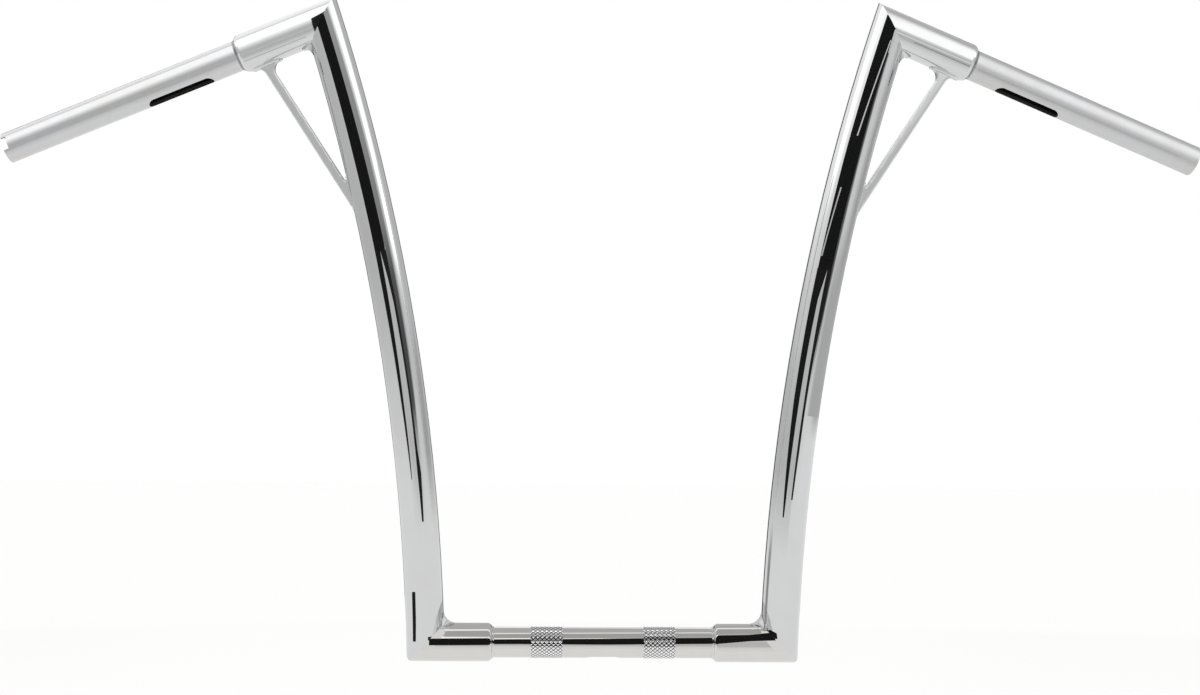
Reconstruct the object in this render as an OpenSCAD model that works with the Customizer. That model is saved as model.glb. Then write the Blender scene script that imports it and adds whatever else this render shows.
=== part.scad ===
// Tall welded handlebar in plated steel tube, seen from the front of the machine.
// X runs along the centre tube, Y points back towards the rider, Z is up.
// The origin is the middle of the centre tube, half way between the two clamp bands.

/* [Tubes] */
// outside diameter of the heavy tube of the uprights and sockets
heavy_od = 31.75; // [28:0.05:40]
// wall of the heavy tube
heavy_wall = 3.05; // [2:0.05:4]
// outside diameter of the light tube that takes the clamps and the grips
light_od = 25.4; // [22:0.05:28]
// wall of the light tube
light_wall = 2.75; // [1.5:0.05:4]
// gap all round between a light tube and the socket it slides into
slip_gap = 0.125; // [0.05:0.005:0.4]

/* [Base] */
// distance between the axes of the two uprights along the centre tube
base_spacing = 293; // [220:1:400]
// distance from the middle of the bar to the end of each lower socket
lower_step = 91.5; // [75:0.5:110]
// length of light tube hidden inside each lower socket
lower_insert = 36; // [15:0.5:40]
// distance between the middles of the two clamp bands
clamp_spacing = 93; // [80:0.5:120]
// length of one knurled clamp band
clamp_width = 26; // [18:0.5:32]
// height of the knurled band over the tube
knurl_rise = 0.15; // [0.05:0.05:0.5]

/* [Uprights] */
// outward lean of the upright at the bottom, in degrees from straight up
lower_lean = 1.7; // [0:0.1:8]
// outward lean of the upright at the top, in degrees from straight up
upper_lean = 17.8; // [12:0.1:24]
// radius of the one long bend of the upright, to the middle of the tube
bend_radius = 1850; // [1200:10:2400]

/* [Arms] */
// fall of the arm and grip below level, in degrees
arm_droop = 21.5; // [10:0.5:30]
// sweep of the arm and grip towards the rider, in degrees
arm_sweep = 7; // [0:0.5:20]
// length of the heavy arm from the upper corner to its stepped end
arm_length = 75; // [60:0.5:100]
// length of light tube that stands out of the arm
grip_length = 211; // [160:1:260]
// length of light tube hidden inside the arm
grip_insert = 42; // [20:0.5:50]

/* [Ends and openings] */
// radius of the rounded shoulder where a heavy tube ends
shoulder_radius = 4.5; // [3:0.1:7]
// length of the rounded shoulder along the tube
shoulder_length = 4; // [2:0.1:6]
// width of the weld that closes the step down to the light tube
step_weld = 1.5; // [0.8:0.1:3]
// depth to which the step welds bite into the light tube
weld_bite = 0.3; // [0.1:0.05:0.8]
// length of the wiring slot under each grip
slot_length = 58; // [30:1:80]
// width of the wiring slot under each grip
slot_width = 12; // [6:0.5:14]
// distance from the end of the arm to the middle of the wiring slot
slot_offset = 56; // [40:1:90]
// turn of the wiring slot from the underside towards the front, in degrees
slot_turn = 16; // [0:1:40]
// width of the notch in the throttle end
notch_width = 10.5; // [4:0.5:14]
// depth of the notch in the throttle end
notch_depth = 4.5; // [2:0.5:10]
// height of the notch above the middle of the tube
notch_height = 2.5; // [0:0.5:4]
// length of the wiring slot under the centre tube
exit_length = 30; // [15:1:40]
// width of the wiring slot under the centre tube
exit_width = 12; // [6:0.5:14]

/* [Corners] */
// radius ground on the outside of each lower corner
corner_radius = 7; // [4:0.5:9]
// radius of the weld in the inside of each lower corner
lower_weld_radius = 9; // [5:0.5:14]
// radius of the weld in the inside of each upper corner
upper_weld_radius = 7; // [5:0.5:12]
// width of the corner welds, seen into the corner
corner_weld_width = 15; // [10:0.5:20]

/* [Braces] */
// thickness of the brace plate
brace_thickness = 6.35; // [4:0.05:10]
// width of the brace strip
brace_width = 7.3; // [5:0.1:12]
// distance along the arm from the upper corner to the outer edge of the brace
brace_reach = 61.5; // [45:0.5:66]
// distance down from the arm axis to where the brace runs out on the upright
brace_drop = 155; // [110:1:190]
// distance down from the arm axis to the closed end of the brace window
window_drop = 129; // [90:1:165]
// radius of the flare where the brace widens onto the arm
flare_radius = 8; // [6:0.5:16]
// radius of the closed lower end of the brace window
window_radius = 2.6; // [1.5:0.1:3.5]

/* [Hidden] */
$fn = 96;
heavy_r = heavy_od / 2;
light_r = light_od / 2;
light_bore_r = light_r - light_wall;
heavy_bore_r = heavy_r - heavy_wall;
socket_bore_r = light_r + slip_gap;
base_half = base_spacing / 2;
reach = 40;
block = 120;
relief = 0.1;
graze = 0.025;
toe = 0.6;
undercut = 0.4;
bead_rise = 0.9;
bend_facets = 720;
steel = [0.78, 0.79, 0.8];
weld_tone = [0.7, 0.71, 0.72];

function lean_way(a) = [sin(a), 0, cos(a)];
function turned(v, a) = [v.x * cos(a) - v.y * sin(a), v.x * sin(a) + v.y * cos(a), v.z];

bend_centre = [base_half, 0, 0] + bend_radius * [cos(lower_lean), 0, -sin(lower_lean)];
upper_corner = bend_centre + bend_radius * [-cos(upper_lean), 0, sin(upper_lean)];
upright_way = lean_way(upper_lean);
arm_way = turned([cos(arm_droop), 0, -sin(arm_droop)], arm_sweep);
arm_under = turned([-sin(arm_droop), 0, -cos(arm_droop)], arm_sweep);
arm_back = turned([0, 1, 0], arm_sweep);
brace_roll = atan2(-upright_way * arm_back, -upright_way * arm_under);
upper_half_angle = acos(-upright_way * arm_way) / 2;
lower_half_angle = (90 + lower_lean) / 2;
// how far the bent upright strays from a straight one where the upper weld ends
weld_end = (heavy_r + upper_weld_radius) / tan(upper_half_angle);
bend_sag = weld_end * weld_end / bend_radius / 2;

// the left side is the mirror of the right side
module left() {
    mirror([1, 0, 0]) children();
}

// stands at the lower corner with z pointing into the corner and x towards the upright
module at_lower_corner() {
    translate([base_half, 0, 0]) rotate([0, lower_half_angle - 90, 0]) children();
}

// stands at the upper corner with z along the arm, x to its underside and y to the rider
module along_arm() {
    translate(upper_corner) rotate([0, 90 + arm_droop, arm_sweep]) children();
}

// turned so that the upright lies in the plane of x and z
module in_brace_plane() {
    along_arm() rotate([0, 0, brace_roll]) children();
}

// stands at the upper corner with z pointing into the corner and x towards the upright
module at_upper_corner() {
    in_brace_plane() rotate([0, upper_half_angle, 0]) children();
}

// everything on one side of a mitre plane
module half_space(side) {
    translate([side > 0 ? 0 : -block, -block / 2, -block / 2]) cube(block);
}

// the ring of a tube wall
module ring(outer, inner) {
    difference() {
        circle(outer);
        circle(inner);
    }
}

// sweeps a flat shape along the middle line of one upright, and a little past both corners
module upright_path() {
    spare = reach / bend_radius * 180 / PI;
    translate(bend_centre) rotate([90, 0, 0]) rotate([0, 0, 180 - upper_lean - spare])
        rotate_extrude(angle = upper_lean - lower_lean + 2 * spare, $fn = bend_facets)
            translate([bend_radius, 0]) children();
}

// the piece ground off the outside of a lower corner
module corner_grinding() {
    centre_drop = (heavy_r - corner_radius + relief) / sin(lower_half_angle);
    side = reach * cos(lower_half_angle);
    depth = reach * sin(lower_half_angle);
    rotate([90, 0, 0]) linear_extrude(heavy_od, center = true)
        translate([0, -centre_drop]) difference() {
            polygon([[0, 0], [side, -depth], [-side, -depth]]);
            circle(corner_radius);
        }
}

// a heavy tube that ends in a rounded shoulder and takes a light tube, end at z = 0
module socket(length) {
    rotate_extrude() difference() {
        translate([socket_bore_r, 0]) square([heavy_r - socket_bore_r, length]);
        translate([heavy_r - shoulder_radius + graze, shoulder_length]) difference() {
            translate([0, -shoulder_radius * 2]) square(shoulder_radius * 2);
            circle(shoulder_radius);
        }
    }
}

// a flat slot with round ends, lying along y
module slot_shape(length, width) {
    span = length - width;
    union() {
        square([width - graze, span], center = true);
        translate([0, span / 2]) circle(width / 2);
        translate([0, -span / 2]) circle(width / 2);
    }
}

// metal laid into the inside of a corner of two equal tubes, in the corner frame
module corner_weld(half_angle, radius, upright_r) {
    centre_rise = (heavy_r + radius - relief) / sin(half_angle);
    side = radius * cos(half_angle);
    foot = centre_rise - radius * sin(half_angle);
    difference() {
        intersection() {
            rotate([90, 0, 0]) linear_extrude(corner_weld_width, center = true) difference() {
                polygon([[0, heavy_r / 2], [side, foot], [-side, foot]]);
                translate([0, centre_rise]) circle(radius);
            }
            cylinder(h = block, d = corner_weld_width);
        }
        rotate([0, half_angle, 0]) cylinder(h = block, r = upright_r);
        rotate([0, -half_angle, 0]) cylinder(h = block, r = heavy_r);
    }
}

// a small bead that closes the step between a shoulder and the light tube
module step_bead() {
    rotate([180, 0, 0]) rotate_extrude()
        polygon([
            [light_r - weld_bite, 0], [light_r + bead_rise, 0],
            [light_r, step_weld], [light_r - weld_bite, step_weld]
        ]);
}

// the shallow ring that a step weld eats into the light tube, undercut at its edge
module weld_ring() {
    linear_extrude(step_weld + undercut) ring(light_r + toe, light_r - weld_bite);
}

// the outline of the brace, x down from the arm axis and y along the arm
module brace_outline() {
    upright_edge = heavy_r / sin(2 * upper_half_angle)
        + brace_drop / tan(2 * upper_half_angle) + brace_drop * brace_drop / bend_radius / 2;
    slope = (brace_reach - upright_edge) / (brace_drop - heavy_r);
    stretch = sqrt(1 + slope * slope);
    strip = brace_width * stretch;
    function edge(x) = brace_reach - slope * (x - heavy_r);
    top = heavy_r - brace_thickness / 2;
    tail = brace_drop + brace_width;
    flare_x = heavy_r + flare_radius + toe;
    flare_gap = (flare_radius - relief) * stretch;
    window_x = window_drop - window_radius;
    difference() {
        polygon([
            [top, edge(flare_x) + flare_gap], [flare_x, edge(flare_x) + flare_gap],
            [flare_x, edge(flare_x)], [tail, edge(tail)], [tail, heavy_r],
            [flare_x, heavy_r], [flare_x, edge(flare_x) - strip - flare_gap],
            [top, edge(flare_x) - strip - flare_gap]
        ]);
        translate([flare_x, edge(flare_x) + flare_gap]) circle(flare_radius);
        translate([flare_x, edge(flare_x) - strip - flare_gap]) circle(flare_radius);
        translate([window_x, edge(window_x) - strip - window_radius]) circle(window_radius);
        polygon([
            [flare_x, edge(flare_x) - strip], [window_x, edge(window_x) - strip],
            [window_x, 0], [flare_x, 0]
        ]);
    }
}

module brace() {
    difference() {
        in_brace_plane() rotate([90, 0, 0])
            linear_extrude(brace_thickness, center = true) brace_outline();
        upright_path() circle(heavy_r);
        along_arm() translate([0, 0, -reach]) cylinder(h = reach + block, r = heavy_r);
    }
}

module lower_socket() {
    difference() {
        translate([lower_step, 0, 0]) rotate([0, 90, 0])
            socket(base_half - lower_step + reach);
        at_lower_corner() half_space(1);
        at_lower_corner() corner_grinding();
    }
}

module upright() {
    difference() {
        upright_path() ring(heavy_r, heavy_bore_r);
        at_lower_corner() half_space(-1);
        at_lower_corner() corner_grinding();
        at_upper_corner() half_space(-1);
    }
}

module arm() {
    difference() {
        along_arm() translate([0, 0, arm_length]) rotate([180, 0, 0])
            socket(arm_length + reach);
        at_upper_corner() half_space(1);
    }
}

module grip_tube() {
    along_arm() difference() {
        translate([0, 0, arm_length - grip_insert])
            linear_extrude(grip_insert + grip_length) ring(light_r, light_bore_r);
        translate([0, 0, arm_length + slot_offset]) rotate([0, 0, -slot_turn])
            rotate([90, 0, 90]) linear_extrude(light_od) slot_shape(slot_length, slot_width);
        translate([0, 0, arm_length]) weld_ring();
    }
}

module throttle_notch() {
    along_arm() translate([0, 0, arm_length + grip_length]) rotate([0, 0, -90])
        translate([0, -notch_height - notch_width / 2, -notch_depth])
            cube([light_od, notch_width, reach]);
}

module centre_tube() {
    color(steel) rotate([0, 90, 0]) difference() {
        union() {
            cylinder(h = 2 * (lower_step + lower_insert), r = light_r, center = true);
            for (side = [-1, 1])
                translate([0, 0, side * clamp_spacing / 2])
                    cylinder(h = clamp_width, r = light_r + knurl_rise, center = true);
        }
        cylinder(h = 3 * block, r = light_bore_r, center = true);
        rotate([90, 0, 90]) linear_extrude(light_od) slot_shape(exit_length, exit_width);
        for (end = [0, 1])
            mirror([0, 0, end]) translate([0, 0, lower_step - step_weld - undercut]) weld_ring();
    }
}

module right_lower_socket() {
    color(steel) lower_socket();
}

module left_lower_socket() {
    color(steel) left() lower_socket();
}

module right_upright() {
    color(steel) upright();
}

module left_upright() {
    color(steel) left() upright();
}

module right_arm() {
    color(steel) arm();
}

module left_arm() {
    color(steel) left() arm();
}

module clutch_grip_tube() {
    color(steel) grip_tube();
}

module throttle_grip_tube() {
    color(steel) left() difference() {
        grip_tube();
        throttle_notch();
    }
}

module right_brace() {
    color(steel) brace();
}

module left_brace() {
    color(steel) left() brace();
}

module right_lower_corner_weld() {
    color(weld_tone) at_lower_corner()
        corner_weld(lower_half_angle, lower_weld_radius, heavy_r);
}

module left_lower_corner_weld() {
    left() right_lower_corner_weld();
}

module right_upper_corner_weld() {
    color(weld_tone) at_upper_corner()
        corner_weld(upper_half_angle, upper_weld_radius, heavy_r + bend_sag);
}

module left_upper_corner_weld() {
    left() right_upper_corner_weld();
}

module right_lower_step_weld() {
    color(weld_tone) translate([lower_step, 0, 0]) rotate([0, 90, 0]) step_bead();
}

module left_lower_step_weld() {
    left() right_lower_step_weld();
}

module right_arm_step_weld() {
    color(weld_tone) along_arm() translate([0, 0, arm_length]) rotate([180, 0, 0]) step_bead();
}

module left_arm_step_weld() {
    left() right_arm_step_weld();
}

centre_tube();
left_lower_socket();
right_lower_socket();
left_upright();
right_upright();
left_arm();
right_arm();
throttle_grip_tube();
clutch_grip_tube();
left_brace();
right_brace();
left_lower_corner_weld();
right_lower_corner_weld();
left_upper_corner_weld();
right_upper_corner_weld();
left_lower_step_weld();
right_lower_step_weld();
left_arm_step_weld();
right_arm_step_weld();
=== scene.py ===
# Tall welded handlebar in chromed steel tube. Metres; +X clutch side, +Y rider, +Z up.
import math
import bpy
import numpy as np
from mathutils import Matrix, Vector
from mathutils.bvhtree import BVHTree


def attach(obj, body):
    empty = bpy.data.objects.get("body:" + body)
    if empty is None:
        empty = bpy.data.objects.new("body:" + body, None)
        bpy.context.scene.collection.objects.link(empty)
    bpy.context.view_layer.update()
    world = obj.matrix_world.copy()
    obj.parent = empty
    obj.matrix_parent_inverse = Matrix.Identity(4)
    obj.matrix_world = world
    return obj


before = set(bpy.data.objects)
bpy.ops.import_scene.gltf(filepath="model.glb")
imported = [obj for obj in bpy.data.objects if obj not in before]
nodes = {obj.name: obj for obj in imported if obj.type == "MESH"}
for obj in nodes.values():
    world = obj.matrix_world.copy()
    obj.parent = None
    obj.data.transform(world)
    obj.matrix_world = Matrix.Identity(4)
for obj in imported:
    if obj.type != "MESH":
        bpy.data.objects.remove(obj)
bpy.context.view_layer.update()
print("frame loaded:", len(nodes), "nodes")

mm = 0.001
white = (1, 1, 1, 1)
upward = Vector((0, 0, 1))


def toLinear(hexColour):
    parts = [int(hexColour[i:i + 2], 16) / 255 for i in (1, 3, 5)]
    return tuple(c / 12.92 if c <= 0.04045 else ((c + 0.055) / 1.055) ** 2.4 for c in parts) + (1.0,)


def addNode(tree, kind, settings=None, numbered=None, **links):
    # a setting is an input's value or a property; links go by an input's name, with _ for a space,
    # or by its number where several inputs share one name
    node = tree.nodes.new(kind)
    for key, value in (settings or {}).items():
        if key in node.inputs:
            node.inputs[key].default_value = value
        else:
            setattr(node, key, value)
    for number, socket in (numbered or {}).items():
        tree.links.new(socket, node.inputs[number])
    for key, socket in links.items():
        tree.links.new(socket, node.inputs[key.replace("_", " ")])
    return node


def setRamp(node, *stops):
    for element, (position, hexColour) in zip(node.color_ramp.elements, stops):
        element.position, element.color = position, toLinear(hexColour)


def newMaterial(name):
    material = bpy.data.materials.new(name)
    material.use_nodes = True
    material.node_tree.nodes.clear()
    return material, material.node_tree


def meshObject(name, vertices, faces, material, smooth=False):
    mesh = bpy.data.meshes.new(name)
    mesh.from_pydata([tuple(v) for v in vertices], [], [tuple(f) for f in faces])
    mesh.update()
    mesh.polygons.foreach_set("use_smooth", [smooth] * len(mesh.polygons))
    piece = bpy.data.objects.new(name, mesh)
    bpy.context.scene.collection.objects.link(piece)
    piece.data.materials.append(material)
    return piece


# the bar's own lines, as the frame has them
bar = {
    "heavyRadius": 15.875 * mm,
    "lightRadius": 12.7 * mm,
    "bandOffset": 46.5 * mm,  # from the bar's middle to that of a clamp band
    "bandWidth": 26 * mm,
    "footOffset": 146.5 * mm,  # from the bar's middle to an upright's line at its foot
    "bendRadius": 1.85,
    "footLean": math.radians(1.7),
    "uprightLean": math.radians(9.7),  # half way up
    "topLean": math.radians(17.8),
    "upperCorner": Vector((0.234246, 0.0, 0.510654)),
    "droop": math.radians(21.5),
    "sweep": math.radians(7),
}
leftCorner = Vector((-bar["upperCorner"].x, 0.0, bar["upperCorner"].z))


def turnOnto(direction):
    # turns local z onto that direction
    return direction.to_track_quat("Z", "Y")


def uprightTurn(side):
    return turnOnto(Vector((side * math.sin(bar["uprightLean"]), 0, math.cos(bar["uprightLean"]))))


def armTurn(side):
    return turnOnto(Vector((side * math.cos(bar["droop"]) * math.cos(bar["sweep"]),
                            math.cos(bar["droop"]) * math.sin(bar["sweep"]),
                            -math.sin(bar["droop"]))))


def backOfArm(side):
    # square to the arm and level, to the rider
    return Vector((side * -math.sin(bar["sweep"]), math.cos(bar["sweep"]), 0))


def acrossArm(side):
    # square to the arm and upward
    return (armTurn(side) @ upward).cross(backOfArm(side)) * side


chrome = {
    "colour": "#d3d4d5",
    "warmColour": "#d0d0cf",
    "lowColour": "#d5d4d2",
    "lowWarmColour": "#d1d0cd",
    "gripColour": "#cbccce",
    "gripWarmColour": "#c8c7c5",
    "insideColour": "#2c2b2a",
    "mirror": 0.035,  # roughness of the well buffed tubes
    "flatBar": 0.08,  # roughness of the braces
    "satin": 0.1,  # roughness of the arms, which show softer edges
    "grip": 0.19,  # roughness of the throttle grip tube, which is less buffed
    "dullGrip": 0.37,  # roughness of the clutch grip tube, the least buffed
    "hazeRange": 0.035,
    "hazeSize": 18 * mm,
    "waveSize": 22 * mm,
    "waveStretch": 0.25,  # makes the waves four times as long along the tube
    "waveHeight": 0.006 * mm,
    "scratchSpacing": 0.5 * mm,  # real ones are finer; drawn at a pixel's width so that they show
    "scratchLength": 14 * mm,
    "scratchDepth": 0.05,  # how much rougher a scratch is
    "boreInset": 1.1 * mm,  # from the outside in to where the dull bore begins
    "platingEnd": 0.8 * mm,  # width over which the plating fades out there
}


def platedTube(name, turn, place=(0.0, 0.0, 0.0), roughness=chrome["mirror"], boreRadius=0.0,
               colours=("colour", "warmColour")):
    # bright chromium plate over buffed steel tube: mirror with a faint buffing haze and
    # long low waves along the tube, which make straight reflections waver; the plating
    # hardly reaches the bore, which stays dull dark steel
    material, tree = newMaterial(name)
    coords = addNode(tree, "ShaderNodeTexCoord")
    along = addNode(tree, "ShaderNodeMapping",
                    {"vector_type": "TEXTURE", "Rotation": turn.to_euler(), "Location": place},
                    Vector=coords.outputs["Object"])
    squeezed = addNode(tree, "ShaderNodeMapping", {"Scale": (1.0, 1.0, chrome["waveStretch"])},
                       Vector=along.outputs["Vector"])
    waves = addNode(tree, "ShaderNodeTexNoise",
                    {"Scale": 1 / chrome["waveSize"], "Detail": 1.0, "Roughness": 0.4},
                    Vector=squeezed.outputs["Vector"])
    haze = addNode(tree, "ShaderNodeTexNoise",
                   {"Scale": 1 / chrome["hazeSize"], "Detail": 4.0, "Roughness": 0.6},
                   Vector=along.outputs["Vector"])
    fine = addNode(tree, "ShaderNodeMapping",
                   {"Scale": (1 / chrome["scratchSpacing"], 1 / chrome["scratchSpacing"],
                              1 / chrome["scratchLength"])},
                   Vector=along.outputs["Vector"])
    scratches = addNode(tree, "ShaderNodeTexNoise", {"Scale": 1.0, "Detail": 2.0},
                        Vector=fine.outputs["Vector"])
    scratchShare = addNode(tree, "ShaderNodeMapRange",
                           {"From Min": 0.62, "From Max": 0.8, "To Min": 0.0,
                            "To Max": chrome["scratchDepth"]},
                           Value=scratches.outputs["Fac"])
    hazeShare = addNode(tree, "ShaderNodeMapRange",
                        {"From Min": 0.4, "From Max": 0.75, "To Min": roughness,
                         "To Max": roughness + chrome["hazeRange"]},
                        Value=haze.outputs["Fac"])
    rough = addNode(tree, "ShaderNodeMath", {"operation": "ADD"},
                    {0: hazeShare.outputs["Result"], 1: scratchShare.outputs["Result"]})
    tint = addNode(tree, "ShaderNodeValToRGB", Fac=haze.outputs["Fac"])
    setRamp(tint, (0.3, chrome[colours[0]]), (0.8, chrome[colours[1]]))
    bump = addNode(tree, "ShaderNodeBump",
                   {"Strength": 1.0, "Distance": chrome["waveHeight"]},
                   Height=waves.outputs["Fac"])
    surface = addNode(tree, "ShaderNodeBsdfPrincipled", {"Metallic": 1.0},
                      Base_Color=tint.outputs["Color"],
                      Roughness=rough.outputs["Value"], Normal=bump.outputs["Normal"])
    top = surface
    if boreRadius:
        flat = addNode(tree, "ShaderNodeMapping", {"Scale": (1.0, 1.0, 0.0)},
                       Vector=along.outputs["Vector"])
        outFromAxis = addNode(tree, "ShaderNodeVectorMath", {"operation": "LENGTH"},
                              Vector=flat.outputs["Vector"])
        plated = addNode(tree, "ShaderNodeMapRange",
                         {"From Min": boreRadius, "From Max": boreRadius + chrome["platingEnd"]},
                         Value=outFromAxis.outputs["Value"])
        dull = addNode(tree, "ShaderNodeBsdfPrincipled",
                       {"Base Color": toLinear(chrome["insideColour"]), "Metallic": 0.2, "Roughness": 0.8})
        top = addNode(tree, "ShaderNodeMixShader",
                      numbered={1: dull.outputs["BSDF"], 2: surface.outputs["BSDF"]},
                      Fac=plated.outputs["Result"])
    addNode(tree, "ShaderNodeOutputMaterial", Surface=top.outputs[0])
    return material


weld = {
    "lumpSize": 3 * mm,
    "lowLump": 0.25 * mm,
    "highLump": 0.5 * mm,
    "paintedRingShade": "#8f9092",  # painted shade: the rings between arms and grips are darkened where they sit in a recess
    "roughness": 0.1,
    "satin": 0.3,  # roughness in the upper corners
    "spread": 0.1,
}


def dressedWeld(name, colour, lumpHeight, roughness=weld["roughness"]):
    # weld metal filed by hand and plated over with the tubes: bright, with soft low lumps
    # left by the file, so that its highlights break up
    material, tree = newMaterial(name)
    coords = addNode(tree, "ShaderNodeTexCoord")
    lumps = addNode(tree, "ShaderNodeTexNoise",
                    {"Scale": 1 / weld["lumpSize"], "Detail": 2.0, "Roughness": 0.45},
                    Vector=coords.outputs["Object"])
    rough = addNode(tree, "ShaderNodeMapRange",
                    {"From Min": 0.35, "From Max": 0.7, "To Min": roughness,
                     "To Max": roughness + weld["spread"]},
                    Value=lumps.outputs["Fac"])
    bump = addNode(tree, "ShaderNodeBump", {"Strength": 1.0, "Distance": lumpHeight},
                   Height=lumps.outputs["Fac"])
    surface = addNode(tree, "ShaderNodeBsdfPrincipled",
                      {"Base Color": toLinear(colour), "Metallic": 1.0},
                      Roughness=rough.outputs["Result"], Normal=bump.outputs["Normal"])
    addNode(tree, "ShaderNodeOutputMaterial", Surface=surface.outputs["BSDF"])
    return material


centreTurn = turnOnto(Vector((1, 0, 0)))
boreEdge = bar["lightRadius"] - chrome["boreInset"]
lowColours, gripColours = ("lowColour", "lowWarmColour"), ("gripColour", "gripWarmColour")
finishes = {
    "centre": platedTube("chromedCentreTube", centreTurn, boreRadius=boreEdge, colours=lowColours),
    "socket": platedTube("chromedSocket", centreTurn, colours=lowColours),
    "leftUpright": platedTube("chromedLeftUpright", uprightTurn(-1)),
    "rightUpright": platedTube("chromedRightUpright", uprightTurn(1)),
    "leftArm": platedTube("chromedLeftArm", armTurn(-1), leftCorner, chrome["satin"]),
    "rightArm": platedTube("chromedRightArm", armTurn(1), bar["upperCorner"], chrome["satin"]),
    "throttleGrip": platedTube("chromedThrottleGrip", armTurn(-1), leftCorner, chrome["grip"],
                               boreEdge, gripColours),
    "clutchGrip": platedTube("chromedClutchGrip", armTurn(1), bar["upperCorner"], chrome["dullGrip"],
                             boreEdge, gripColours),
    "brace": platedTube("chromedFlatBar", uprightTurn(-1), roughness=chrome["flatBar"]),
    "weld": dressedWeld("chromedDressedWeld", chrome["colour"], weld["lowLump"]),
    "cornerWeld": dressedWeld("chromedSatinWeld", chrome["colour"], weld["lowLump"], weld["satin"]),
    "socketStep": dressedWeld("chromedLumpyWeld", chrome["colour"], weld["highLump"]),
    # the rings between arms and grips take a darker colour as painted shade
    "armStep": dressedWeld("chromedStepWeldPaintedShade", weld["paintedRingShade"], weld["lowLump"]),
}
finishOf = {
    "centre_tube": "centre", "left_lower_socket": "socket", "right_lower_socket": "socket",
    "left_upright": "leftUpright", "right_upright": "rightUpright",
    "left_arm": "leftArm", "right_arm": "rightArm",
    "throttle_grip_tube": "throttleGrip", "clutch_grip_tube": "clutchGrip",
    "left_brace": "brace", "right_brace": "brace",
    "left_upper_corner_weld": "cornerWeld", "right_upper_corner_weld": "cornerWeld",
    "left_lower_step_weld": "socketStep", "right_lower_step_weld": "socketStep",
    "left_arm_step_weld": "armStep", "right_arm_step_weld": "armStep",
}
for name, piece in nodes.items():
    piece.data.materials.clear()
    piece.data.materials.append(finishes[finishOf.get(name, "weld")])
print("finishes on the tubes and welds")


braceEdge = {
    "grid": 0.45 * mm,
    "rounds": 40,
    "pull": 0.5,
}
for name in ("left_brace", "right_brace"):
    # the flat bar's ground and buffed edges are round and catch the light: a fine even skin over
    # the same shape, eased a little at each edge
    skin = nodes[name].modifiers.new("evenSkin", "REMESH")
    skin.mode = "VOXEL"
    skin.voxel_size = braceEdge["grid"]
    skin.use_smooth_shade = True
    eased = nodes[name].modifiers.new("buffedEdges", "SMOOTH")
    eased.factor = braceEdge["pull"]
    eased.iterations = braceEdge["rounds"]
print("brace edges buffed")


knurl = {
    "diamondsRound": 24,  # real ones are about 2.9 by 2 mm; drawn coarser so that they show
    "rows": 7,
    "rootRadius": 12.86 * mm,
    "tipRadius": 13.3 * mm,
    "tipFlat": 0.3,  # width of the worn flat tip, as a share of the pyramid's
    # painted shade: the grooves are darkened where shade falls in them
    "paintedGrooveShade": "#404143",
    "tipColour": "#f6f6f6",
    "paintedShadeEnd": 0.16,  # share of the height up to which the painted groove shade goes
    "flankStart": 0.36,  # share of the height from which the flank is bright
    "tipRoughness": 0.06,
    "roughest": 0.16,
    "grain": 0.7 * mm,
    "grainHeight": 0.03 * mm,
}


def knurledSleeve(name, middle, material):
    # one raised pyramid with a small flat tip for each crossing of the two cut spirals
    count, rows = knurl["diamondsRound"], knurl["rows"]
    step, start = bar["bandWidth"] / rows, middle - bar["bandWidth"] / 2
    vertices, faces = [], []

    def put(x, turn, radius):
        angle = 2 * math.pi * turn / count
        vertices.append((x, radius * math.sin(angle), radius * math.cos(angle)))
        return len(vertices) - 1

    for half in range(2 * rows + 1):
        x = start + half * step / 2
        reachBack = step / 2 if half > 0 else 0.0
        reachOn = step / 2 if half < 2 * rows else 0.0
        for i in range(count):
            turn = i + (0.5 if half % 2 else 0.0)
            low = [(x - reachBack, turn), (x, turn - 0.5), (x + reachOn, turn), (x, turn + 0.5)]
            base = [put(px, pt, knurl["rootRadius"]) for px, pt in low]
            flat = [put(x + (px - x) * knurl["tipFlat"], turn + (pt - turn) * knurl["tipFlat"],
                        knurl["tipRadius"]) for px, pt in low]
            for k in range(4):
                n = (k + 1) % 4
                faces.append((base[k], base[n], flat[n], flat[k]))
            faces.append(tuple(flat))
    sleeve = meshObject(name, vertices, faces, material)
    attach(sleeve, "root")


def knurledPlate(name):
    # chromed knurling: worn bright tips, and painted shade that darkens the cut grooves, so that the band
    # breaks what it mirrors up into small bright diamonds
    material, tree = newMaterial(name)
    coords = addNode(tree, "ShaderNodeTexCoord")
    flat = addNode(tree, "ShaderNodeMapping", {"Scale": (0.0, 1.0, 1.0)},
                   Vector=coords.outputs["Object"])
    outFromAxis = addNode(tree, "ShaderNodeVectorMath", {"operation": "LENGTH"},
                          Vector=flat.outputs["Vector"])
    height = addNode(tree, "ShaderNodeMapRange",
                     {"From Min": knurl["rootRadius"], "From Max": knurl["tipRadius"]},
                     Value=outFromAxis.outputs["Value"])
    grain = addNode(tree, "ShaderNodeTexNoise", {"Scale": 1 / knurl["grain"], "Detail": 3.0},
                    Vector=coords.outputs["Object"])
    shade = addNode(tree, "ShaderNodeValToRGB", Fac=height.outputs["Result"])
    setRamp(shade, (knurl["paintedShadeEnd"], knurl["paintedGrooveShade"]), (knurl["flankStart"], knurl["tipColour"]))
    rough = addNode(tree, "ShaderNodeMapRange",
                    {"From Min": 0.3, "From Max": 0.7, "To Min": knurl["tipRoughness"],
                     "To Max": knurl["roughest"]},
                    Value=grain.outputs["Fac"])
    bump = addNode(tree, "ShaderNodeBump", {"Strength": 0.6, "Distance": knurl["grainHeight"]},
                   Height=grain.outputs["Fac"])
    surface = addNode(tree, "ShaderNodeBsdfPrincipled", {"Metallic": 1.0},
                      Base_Color=shade.outputs["Color"],
                      Roughness=rough.outputs["Result"], Normal=bump.outputs["Normal"])
    addNode(tree, "ShaderNodeOutputMaterial", Surface=surface.outputs["BSDF"])
    return material


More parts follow.
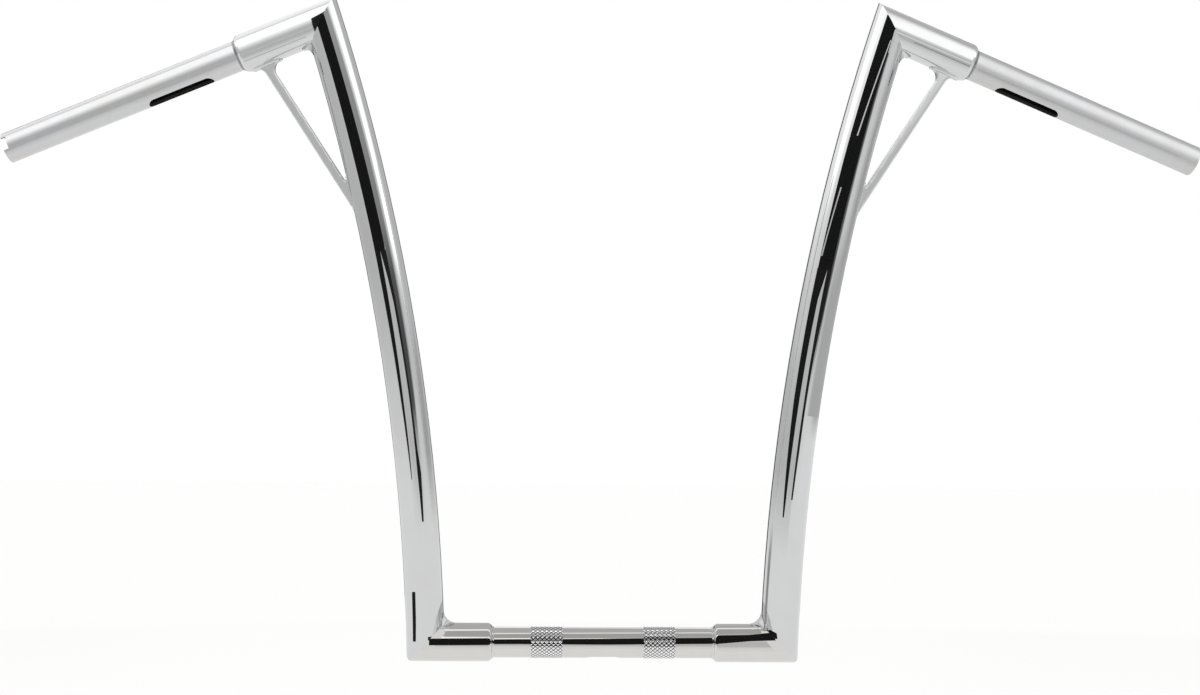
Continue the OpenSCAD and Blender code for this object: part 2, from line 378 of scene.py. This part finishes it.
knurlFinish = knurledPlate("chromedKnurling")
knurledSleeve("left_clamp_knurling", -bar["bandOffset"], knurlFinish)
knurledSleeve("right_clamp_knurling", bar["bandOffset"], knurlFinish)
print("knurling cut")


bead = {
    "radius": 2.0 * mm,
    "tailRadius": 1.2 * mm,
    "ripple": 2.4 * mm,
    "rippleHeight": 0.22,
    "sink": 0.275,  # how deep its middle lies, in radii
    "offset": 3.3 * mm,  # from the middle plane of the brace
    "footReach": (48 * mm, 65 * mm),  # along the arm, from the upper corner
    "tailReach": (131 * mm, 152 * mm),  # down the upright, from the upper corner
    "straightSteps": 24,
    "turnSteps": 8,
    "sides": 10,
    "aimFrom": 60 * mm,  # height over the axis from which its way is traced onto the tube
}


def surfaceFinder(node):
    mesh = nodes[node].data
    return BVHTree.FromPolygons([v.co for v in mesh.vertices], [p.vertices for p in mesh.polygons])


def beadRoute(near, far):
    # once round the brace's end: places along the tube, each with its share of the offset aside
    straight, turnSteps, route = bead["straightSteps"], bead["turnSteps"], []
    for first, last, side in ((near, far, 1.0), (far, near, -1.0)):
        for i in range(straight):
            route.append((first + (last - first) * i / straight, side))
        for i in range(turnSteps):
            angle = math.pi * i / turnSteps
            route.append((last + side * bead["offset"] * math.sin(angle), side * math.cos(angle)))
    return route


def weldBead(name, node, start, along, outward, reach, radius):
    # a rippled bead laid round one end of a brace, on the tube that it stands on
    tube, aside = surfaceFinder(node), along.cross(outward).normalized()
    middles, normals = [], []
    for place, share in beadRoute(*reach):
        above = start + along * place + aside * share * bead["offset"] + outward * bead["aimFrom"]
        found, normal, _, _ = tube.ray_cast(above, -outward)
        middles.append(found - normal * radius * bead["sink"])
        normals.append(normal)
    count, sides, travelled = len(middles), bead["sides"], 0.0
    vertices, faces = [], []
    for i in range(count):
        tangent = (middles[(i + 1) % count] - middles[i - 1]).normalized()
        across = tangent.cross(normals[i]).normalized()
        lump = radius * (1 + bead["rippleHeight"] * abs(math.sin(math.pi * travelled / bead["ripple"])))
        for k in range(sides):
            angle = 2 * math.pi * k / sides
            vertices.append(middles[i] + (across * math.cos(angle) + normals[i] * math.sin(angle)) * lump)
            faces.append((i * sides + k, i * sides + (k + 1) % sides,
                          (i + 1) % count * sides + (k + 1) % sides, (i + 1) % count * sides + k))
        travelled += (middles[(i + 1) % count] - middles[i]).length
    laid = meshObject(name, vertices, faces, finishes["weld"], smooth=True)
    melted = laid.modifiers.new("meltedSmooth", "SUBSURF")
    melted.levels = melted.render_levels = 1
    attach(laid, "root")


def braceWelds(side, word):
    corner = Vector((side * bar["upperCorner"].x, 0.0, bar["upperCorner"].z))
    arm = armTurn(side) @ upward
    down = Vector((-side * math.sin(bar["topLean"]), 0, -math.cos(bar["topLean"])))
    underArm = (down - arm * down.dot(arm)).normalized()
    besideUpright = (arm - down * arm.dot(down)).normalized()
    weldBead(word + "_brace_foot_weld", word + "_arm", corner, arm, underArm,
             bead["footReach"], bead["radius"])
    weldBead(word + "_brace_tail_weld", word + "_upright", corner, down, besideUpright,
             bead["tailReach"], bead["tailRadius"])


braceWelds(-1, "left")
braceWelds(1, "right")
print("weld beads laid round the braces")


studio = {
    "floorHeight": -0.35,
    "floorHalf": 8.0,
    "floorColour": "#fbfbfa",
    "floorGlow": 0.5,  # share of the floor's own light, which leaves half of each shadow
    "rollerGrain": 50 / 3 * mm,  # the real one is finer; drawn coarser so that it shows
    "rollerHeight": 0.4 * mm,
    "skyForDiffuse": 0.7,
    "lampLevel": 1.14,
    "lampSpread": math.radians(45),
    "lampAim": Vector((0.3, 0.45, -1.0)),
    "wallRadius": 3.2,
    "ceilingHeight": 2.4,
    "cardGap": 6 * mm,
}
lens = {
    "place": Vector((-0.07916, -2.06685, 0.25483)),
    "right": Vector((0.99931, -0.036149, 0.008493)),
    "ahead": Vector((0.036193, 0.999332, -0.005136)),
    "up": Vector((-0.008302, 0.00544, 0.999951)),
    "focal": 75.0,
    "filmWidth": 36.0,
    "nearest": 0.05,
}


def seenByAll(tree):
    # 1 for the rays of the camera, of gloss and of glass, 0 for those that light the floor
    path = addNode(tree, "ShaderNodeLightPath")
    seen = addNode(tree, "ShaderNodeMath", {"operation": "MAXIMUM"},
                   {0: path.outputs["Is Camera Ray"], 1: path.outputs["Is Glossy Ray"]})
    seenAll = addNode(tree, "ShaderNodeMath", {"operation": "MAXIMUM"},
                      {0: seen.outputs["Value"], 1: path.outputs["Is Transmission Ray"]})
    return seenAll.outputs["Value"]


def makeFloor():
    # matt white floor paint: even, with a trace of roller grain; it shows soft, half faded shadows
    material, tree = newMaterial("rolledWhiteFloorPaint")
    coords = addNode(tree, "ShaderNodeTexCoord")
    grain = addNode(tree, "ShaderNodeTexNoise", {"Scale": 1 / studio["rollerGrain"], "Detail": 5.0},
                    Vector=coords.outputs["Object"])
    bump = addNode(tree, "ShaderNodeBump", {"Strength": 0.2, "Distance": studio["rollerHeight"]},
                   Height=grain.outputs["Fac"])
    paint = addNode(tree, "ShaderNodeBsdfPrincipled",
                    {"Base Color": toLinear(studio["floorColour"]), "Roughness": 0.8},
                    Normal=bump.outputs["Normal"])
    glow = addNode(tree, "ShaderNodeEmission", {"Color": white, "Strength": 1.0})
    share = addNode(tree, "ShaderNodeMath", {"operation": "MULTIPLY"}, {0: seenByAll(tree)})
    share.inputs[1].default_value = studio["floorGlow"]
    both = addNode(tree, "ShaderNodeMixShader",
                   numbered={1: paint.outputs["BSDF"], 2: glow.outputs["Emission"]},
                   Fac=share.outputs["Value"])
    addNode(tree, "ShaderNodeOutputMaterial", Surface=both.outputs["Shader"])
    half, z = studio["floorHalf"], studio["floorHeight"]
    corners = [(-half, -half, z), (half, -half, z), (half, half, z), (-half, half, z)]
    floor = meshObject("studioFloor", corners, [(0, 1, 2, 3)], material)


def makeSky():
    world = bpy.data.worlds.new("studioSky")
    bpy.context.scene.world = world
    world.use_nodes = True
    tree = world.node_tree
    tree.nodes.clear()
    level = addNode(tree, "ShaderNodeMapRange", {"To Min": studio["skyForDiffuse"], "To Max": 1.0},
                    Value=seenByAll(tree))
    sky = addNode(tree, "ShaderNodeBackground", {"Color": white}, Strength=level.outputs["Result"])
    addNode(tree, "ShaderNodeOutputWorld", Surface=sky.outputs["Background"])


def makeLamp():
    # a very wide, even light from above the camera's left
    light = bpy.data.lights.new("wideOverheadLamp", "SUN")
    light.angle = studio["lampSpread"]
    light.energy = studio["lampLevel"]
    lamp = bpy.data.objects.new("wideOverheadLamp", light)
    lamp.rotation_euler = studio["lampAim"].to_track_quat("-Z", "Y").to_euler()
    lamp.visible_glossy = False
    bpy.context.scene.collection.objects.link(lamp)


def glowingPaperAndReflectionPaint(name):
    # paper and cloth of the studio, and the cards that paint reflections on the tubes, all glowing as
    # bright at each place as the tone kept on the mesh; cover is less than 1 where it thins out to nothing
    # at a torn edge
    material, tree = newMaterial(name)
    tone = addNode(tree, "ShaderNodeAttribute", {"attribute_name": "tone"})
    cover = addNode(tree, "ShaderNodeAttribute", {"attribute_name": "cover"})
    glow = addNode(tree, "ShaderNodeEmission", {"Color": white}, Strength=tone.outputs["Fac"])
    clear = addNode(tree, "ShaderNodeBsdfTransparent", {"Color": white})
    both = addNode(tree, "ShaderNodeMixShader",
                   numbered={1: clear.outputs["BSDF"], 2: glow.outputs["Emission"]},
                   Fac=cover.outputs["Fac"])
    addNode(tree, "ShaderNodeOutputMaterial", Surface=both.outputs["Shader"])
    return material


paper = glowingPaperAndReflectionPaint("studioGlowAndPaintedReflections")


def paperSheet(name, columns, rows, at, closed=False):
    # a grid of paper that shows in the metal and nowhere else: at gives the place, tone and cover
    # of a grid point, and closed joins the last column to the first
    wide = columns if closed else columns + 1
    points = [at(i, j) for j in range(rows + 1) for i in range(wide)]
    faces = []
    for j in range(rows):
        for i in range(columns):
            n = (i + 1) % wide
            faces.append((j * wide + i, j * wide + n, (j + 1) * wide + n, (j + 1) * wide + i))
    sheet = meshObject(name, [p[0] for p in points], faces, paper)
    for kind, values in (("tone", [p[1] for p in points]), ("cover", [p[2] for p in points])):
        kept = sheet.data.attributes.new(kind, "FLOAT", "POINT")
        kept.data.foreach_set("value", np.array(values, np.float32))
    sheet.visible_camera = False
    sheet.visible_diffuse = False
    sheet.visible_shadow = False


def blendBetween(value, stops):
    return float(np.interp(value, [p for p, t in stops], [t for p, t in stops]))


def inside(value, low, high, edge):
    return max(0.0, min(1.0, min(value - low, high - value) / edge))


# tone of the wall by height in metres, then boxes and cards on it: azimuths in degrees from the
# camera's side, + to the clutch side, heights in metres, softness of both pairs of edges, tone
wallByHeight = [(-0.35, 0.62), (0.2, 0.68), (0.5, 0.64), (1.1, 0.88), (1.8, 1.25), (2.4, 1.6)]
wallParts = [
    (18, 56, 0.55, 2.7, 10, 0.5, 1.5),
    (13, 38, 0.42, 1.0, 4, 0.12, 0.95),
    (8, 60, -0.6, 0.03, 6, 0.1, 0.95),
    (58, 94, 1.0, 2.7, 8, 0.2, 1.9),
    (97, 160, 0.4, 2.7, 8, 0.3, 0.66),
    (-106, -64, 1.36, 2.7, 8, 0.3, 1.9),
    (-150, -106, 1.0, 2.7, 8, 0.3, 1.15),
    (36, 82, -0.6, 0.7, 12, 0.2, 0.84),
    (88, 132, -0.6, 0.85, 8, 0.15, 0.5),
    (-132, -100, -0.6, 0.85, 8, 0.15, 0.65),
    (150, 166, -0.6, 2.0, 4, 0.3, 0.03),
    (194, 215, -0.6, 2.0, 4, 0.3, 0.05),
]
# boxes on the plain grey ceiling: x and y ranges in metres, softness, tone
ceilingTone = 0.62
ceilingParts = [
    (-3.4, -0.9, -3.4, 0.42, 0.35, 1.6),
    (-3.4, -0.7, 0.3, 3.4, 0.35, 1.25),
    (0.7, 4.6, -4.6, 0.5, 1.1, 1.5),
]
# a grey cloth on the floor in front, which the undersides of the arms show: its edges in metres,
# and its tone by the distance in front of the bar
mat = {"front": -2.75, "back": -0.35, "half": 2.0, "thick": 4 * mm}
matTones = [(0.35, 0.97), (0.7, 0.92), (1.0, 0.79), (1.4, 0.65), (2.75, 0.63)]


def makeWalls():
    around, up = 144, 28
    radius, low, high = studio["wallRadius"], studio["floorHeight"], studio["ceilingHeight"]

    def at(i, j):
        z, azimuth = low + (high - low) * j / up, 360 * i / around - 180
        tone = blendBetween(z, wallByHeight)
        for left, right, bottom, top, edge, rise, level in wallParts:
            turned = azimuth if left <= azimuth <= right else azimuth + 360
            share = inside(turned, left, right, edge) * inside(z, bottom, top, rise)
            tone += (level - tone) * share
        turn = math.radians(azimuth)
        return (radius * math.sin(turn), -radius * math.cos(turn), z), tone, 1.0
    paperSheet("studioWalls", around, up, at, closed=True)


def makeCeiling():
    steps, radius = 48, studio["wallRadius"]

    def at(i, j):
        x, y = radius * (2 * i / steps - 1), radius * (2 * j / steps - 1)
        tone = ceilingTone
        for left, right, front, back, edge, level in ceilingParts:
            tone += (level - tone) * inside(x, left, right, edge) * inside(y, front, back, edge)
        return (x, y, studio["ceilingHeight"]), tone, 1.0
    paperSheet("studioCeiling", steps, steps, at)


def makeMat():
    columns, steps, z = 2, 24, studio["floorHeight"] + mat["thick"]

    def at(i, j):
        x = mat["half"] * (2 * i / columns - 1)
        y = mat["back"] + (mat["front"] - mat["back"]) * j / steps
        return (x, y, z), blendBetween(-y, matTones), 1.0
    paperSheet("greyFloorMat", columns, steps, at)


def uprightLine(side):
    # the middle line of an upright, its turn across and its turn to the rider, at a height
    radius, foot = bar["bendRadius"], bar["footLean"]
    centre = Vector((bar["footOffset"] + radius * math.cos(foot), 0, -radius * math.sin(foot)))

    def at(height):
        lean = math.asin((height - centre.z) / radius)
        middle = Vector((side * (centre.x - radius * math.cos(lean)), 0, height))
        across = Vector((math.cos(lean), 0, side * -math.sin(lean)))
        return middle, across, Vector((0, 1, 0))
    return at


def tubeLine(start, way, across, back):
    def at(distance):
        return start + way * distance, across, back
    return at


def paintedReflectionCard(name, line, radius, rows, tone, gap=None, topTilt=0.0, fade=(0, 0, 0, 0)):
    # a painted reflection: a glowing card hung a few millimetres off the tube, just where the camera sees
    # it mirrored between two places across it, so that its tone paints a band onto the tube: a row is the
    # place along the tube, then the left and right places across it, from -1 to 1, and its tone where that
    # differs; topTilt raises the right end of the first row, to follow a mitre; fade is the share of the
    # card that thins out at the first row, the last row, the left and the right
    gap = studio["cardGap"] if gap is None else gap
    columns, between = 16, 8
    rows = [list(row) + [tone] * (4 - len(row)) for row in rows]
    fine = []
    for first, second in zip(rows, rows[1:]):
        for k in range(between):
            fine.append([a + (b - a) * k / between for a, b in zip(first, second)])
    fine.append(rows[-1])
    last = len(fine) - 1

    def at(i, j):
        place, left, right, level = fine[j]
        share, down = i / columns, j / last
        s = left + (right - left) * share
        middle, across, back = line(place + topTilt * max(0.0, 1 - j / between) * share)
        normal = across * s - back * math.sqrt(1 - s * s)
        point = middle + normal * radius
        look = (point - lens["place"]).normalized()
        cover = 1.0
        for width, fromEdge in zip(fade, (down, 1 - down, share, 1 - share)):
            if width:
                cover *= min(1.0, fromEdge / width)
        return point + (look - 2 * look.dot(normal) * normal) * gap, level, cover
    paperSheet(name, columns, last, at)


heavy, light = bar["heavyRadius"], bar["lightRadius"]
darkReflectionTone = 0.012  # tone of the darkest painted reflections
nearest, nearer, farther, farthest = 5 * mm, 7 * mm, 9 * mm, 10 * mm  # gaps from card to tube
leftLine, rightLine = uprightLine(-1), uprightLine(1)
centreLine = tubeLine(Vector((0, 0, 0)), Vector((1, 0, 0)), upward, Vector((0, 1, 0)))
leftArmLine = tubeLine(leftCorner, armTurn(-1) @ upward, acrossArm(-1), backOfArm(-1))
rightArmLine = tubeLine(bar["upperCorner"], armTurn(1) @ upward, acrossArm(1), backOfArm(1))

# painted reflections: glowing cards hung a few millimetres off the arms, uprights and centre tube, where
# the camera sees them mirrored, so that the dark ones paint the dark bands and the light ones paint
# highlights on the tubes
armPaintedReflections = [
    ("leftArmRail", leftArmLine, heavy, [(0.016, -0.56, -0.52), (0.072, -0.57, -0.53)], 0.6),
    ("rightArmRail", rightArmLine, heavy, [(0.02, -0.36, -0.31), (0.073, -0.36, -0.31)], 0.36),
    ("rightGripRail", rightArmLine, light,
     [(0.08, -0.37, -0.31), (0.16, -0.37, -0.29, 0.5), (0.27, -0.36, -0.2, 0.6)], 0.42),
]
leftPaintedReflections = [
    ("leftBlackCard",
     [(0.518, -0.34, 0.4), (0.5, -0.34, 0.27), (0.47, -0.34, 0.23), (0.4, -0.36, 0.22),
      (0.33, -0.34, 0.21), (0.322, -0.34, 0.2)], darkReflectionTone, 8 * mm, 15 * mm),
    ("leftBlackCardOuter",
     [(0.322, -0.34, -0.07), (0.3, -0.34, -0.09), (0.28, -0.33, -0.1), (0.24, -0.3, -0.12),
      (0.2, -0.27, -0.14), (0.16, -0.22, -0.14), (0.135, -0.18, -0.15)], 0.015),
    ("leftBlackCardInner",
     [(0.322, -0.07, 0.22), (0.3, 0.05, 0.23), (0.28, 0.12, 0.25), (0.24, 0.15, 0.25),
      (0.2, 0.17, 0.26), (0.16, 0.16, 0.28), (0.14, 0.15, 0.34), (0.1, 0.17, 0.26)], 0.02),
    ("leftGreyCard",
     [(0.525, 0.16, 0.52, 0.45), (0.42, 0.18, 0.55, 0.36), (0.35, 0.2, 0.54, 0.3),
      (0.3, 0.22, 0.54, 0.12), (0.24, 0.23, 0.52, 0.09), (0.2, 0.25, 0.48, 0.1),
      (0.15, 0.3, 0.4, 0.2)], 0.1, nearer, 0.0, (0, 0.15, 0, 0.35)),
    ("leftLowCard", [(0.043, -0.58, -0.4), (0.02, -0.6, -0.42), (0.002, -0.62, -0.46)], 0.02),
    ("leftWhiteSheet",
     [(0.155, -0.35, 0.97), (0.035, -0.55, 0.97), (0.02, -0.6, 0.6), (-0.012, -0.6, 0.1)],
     0.97, farther, 0.0, (0.18, 0, 0.2, 0)),
    ("leftWhiteSheetOuter",
     [(0.31, -0.97, -0.3), (-0.012, -0.97, 0.3)], 0.97, farthest, 0.0, (0.55, 0, 0, 0.3)),
]
rightPaintedReflections = [
    ("rightBlackCard",
     [(0.519, -0.45, 0.16), (0.49, -0.45, 0.19), (0.45, -0.46, 0.2), (0.4, -0.48, 0.24),
      (0.36, -0.48, 0.22), (0.31, -0.49, 0.22)], darkReflectionTone, None, -9 * mm),
    ("rightBlackCardInner",
     [(0.31, -0.51, 0.0), (0.285, -0.52, -0.18), (0.243, -0.52, -0.22), (0.2, -0.51, -0.24),
      (0.16, -0.46, -0.26), (0.12, -0.4, -0.28), (0.105, -0.37, -0.3)], 0.015),
    ("rightBlackCardOuter",
     [(0.31, 0.0, 0.24), (0.285, 0.0, 0.24), (0.243, 0.01, 0.16), (0.2, 0.01, 0.13),
      (0.16, 0.0, 0.12), (0.12, -0.02, 0.06)], 0.02),
    ("rightGreyCard",
     [(0.49, 0.17, 0.27), (0.42, 0.2, 0.34), (0.36, 0.2, 0.36), (0.31, 0.22, 0.34),
      (0.27, 0.18, 0.3), (0.22, 0.14, 0.24)], 0.12, nearer, 0.0, (0, 0.2, 0, 0.5)),
    ("rightGreySheet", [(0.36, 0.3, 0.97), (0.19, 0.2, 0.97)], 0.56, farther, 0.0, (0.4, 0, 0.25, 0)),
    ("rightWhiteSheet",
     [(0.14, -0.97, 0.3), (0.035, -0.97, 0.5), (0.02, -0.6, 0.5), (-0.012, -0.1, 0.5)],
     0.98, farther, 0.0, (0.22, 0, 0, 0.1)),
    ("rightWhiteSheetOuter",
     [(0.196, 0.25, 0.97), (-0.012, 0.1, 0.97)], 0.98, farthest, 0.0, (0.08, 0, 0.15, 0)),
    ("rightLowCard", [(0.1, -0.9, -0.72), (0.0, -0.9, -0.78)], 0.35, None, 0.0, (0.3, 0.2, 0.3, 0.3)),
    ("rightStreakHigh", [(0.5, 0.1, 0.15), (0.465, -0.01, 0.05), (0.42, -0.16, -0.09)], 0.75, nearest),
    ("rightStreakLow", [(0.377, -0.3, -0.23), (0.35, -0.38, -0.32), (0.32, -0.47, -0.4)], 0.6, nearest),
]
centrePaintedReflections = [
    ("centreBlackCard",
     [(-0.143, -0.04, 0.26), (-0.07, 0.0, 0.31), (0.0, -0.02, 0.36), (0.09, 0.06, 0.45),
      (0.12, 0.2, 0.48), (0.142, 0.24, 0.6)], darkReflectionTone),
    ("centreGreyCard", [(-0.13, 0.34, 0.58), (0.0, 0.41, 0.66), (0.13, 0.54, 0.72)], 0.5),
    ("centreGreyCardHigh", [(-0.13, 0.68, 0.95), (0.0, 0.74, 0.95), (0.13, 0.8, 0.95)], 0.58),
    ("centreLightLine", [(-0.13, 0.6, 0.66), (0.0, 0.68, 0.72), (0.13, 0.74, 0.78)], 1.25),
    ("centreLightLineLow", [(-0.13, 0.27, 0.32), (-0.05, 0.33, 0.36), (0.0, 0.37, 0.39)], 1.2),
]


def makePaintedReflections():
    for name, line, radius, rows, *rest in armPaintedReflections:
        paintedReflectionCard(name, line, radius, rows, *rest)
    for line, radius, cards in ((leftLine, heavy, leftPaintedReflections), (rightLine, heavy, rightPaintedReflections),
                                (centreLine, light, centrePaintedReflections)):
        for name, rows, *rest in cards:
            paintedReflectionCard(name, line, radius, rows, *rest)


def makeCamera():
    data = bpy.data.cameras.new("photoCamera")
    data.lens = lens["focal"]
    data.sensor_width = lens["filmWidth"]
    data.clip_start = lens["nearest"]
    camera = bpy.data.objects.new("photoCamera", data)
    turn = Matrix((lens["right"], lens["up"], -lens["ahead"])).transposed().to_4x4()
    camera.matrix_world = Matrix.Translation(lens["place"]) @ turn
    bpy.context.scene.collection.objects.link(camera)
    bpy.context.scene.camera = camera


makeFloor()
makeSky()
makeLamp()
makeWalls()
makeCeiling()
makeMat()
makePaintedReflections()
makeCamera()
bpy.context.scene.view_settings.view_transform = "Standard"
print("studio and camera set")

bpy.context.view_layer.update()
